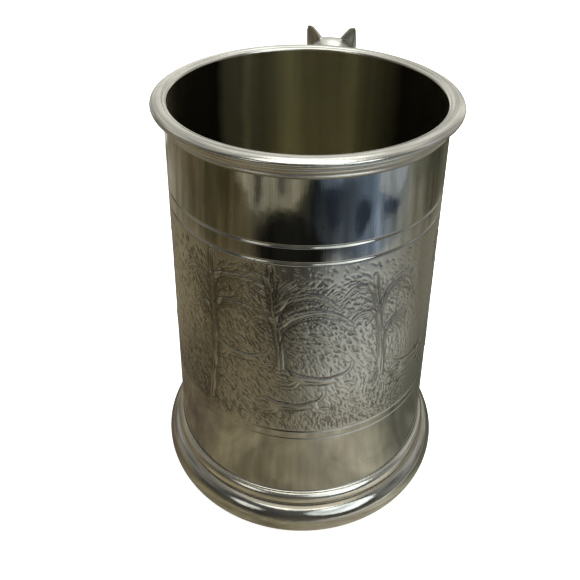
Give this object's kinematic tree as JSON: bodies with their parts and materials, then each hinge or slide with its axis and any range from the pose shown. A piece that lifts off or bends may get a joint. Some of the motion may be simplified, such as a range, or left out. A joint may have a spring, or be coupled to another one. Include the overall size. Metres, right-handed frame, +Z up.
{
  "type": "pewter tankard",
  "caption": "Straight tapered pewter drinking tankard with an engraved woodland band, a rolled lip, a hollow moulded foot and a cast fox standing behind it as the handle",
  "frame": {"origin": "centre of the ring that the foot rests on, on the drum's axis", "axes": "+Z up along the drum's axis, +Y toward the fox handle, +X to the right when the handle is at the back"},
  "size_m": [0.098, 0.1284, 0.1326],
  "materials": {
    "drum_pewter": "satin",
    "lip_pewter": "satin",
    "foot_pewter": "satin",
    "floor_pewter": "satin",
    "fox_pewter": "satin",
    "solder": "matte"
  },
  "bodies": {
    "root": {"drum": "drum_pewter", "drum_seam_solder": "solder", "mouth_wire": "lip_pewter", "mouth_wire_solder": "solder", "floor_plate": "floor_pewter", "floor_solder": "solder", "foot_moulding": "foot_pewter", "foot_solder": "solder", "fox_handle": "fox_pewter", "forepaw_solder": "solder", "chin_solder": "solder", "hindpaw_solder": "solder", "tail_solder": "solder"}
  },
  "joints": []
}
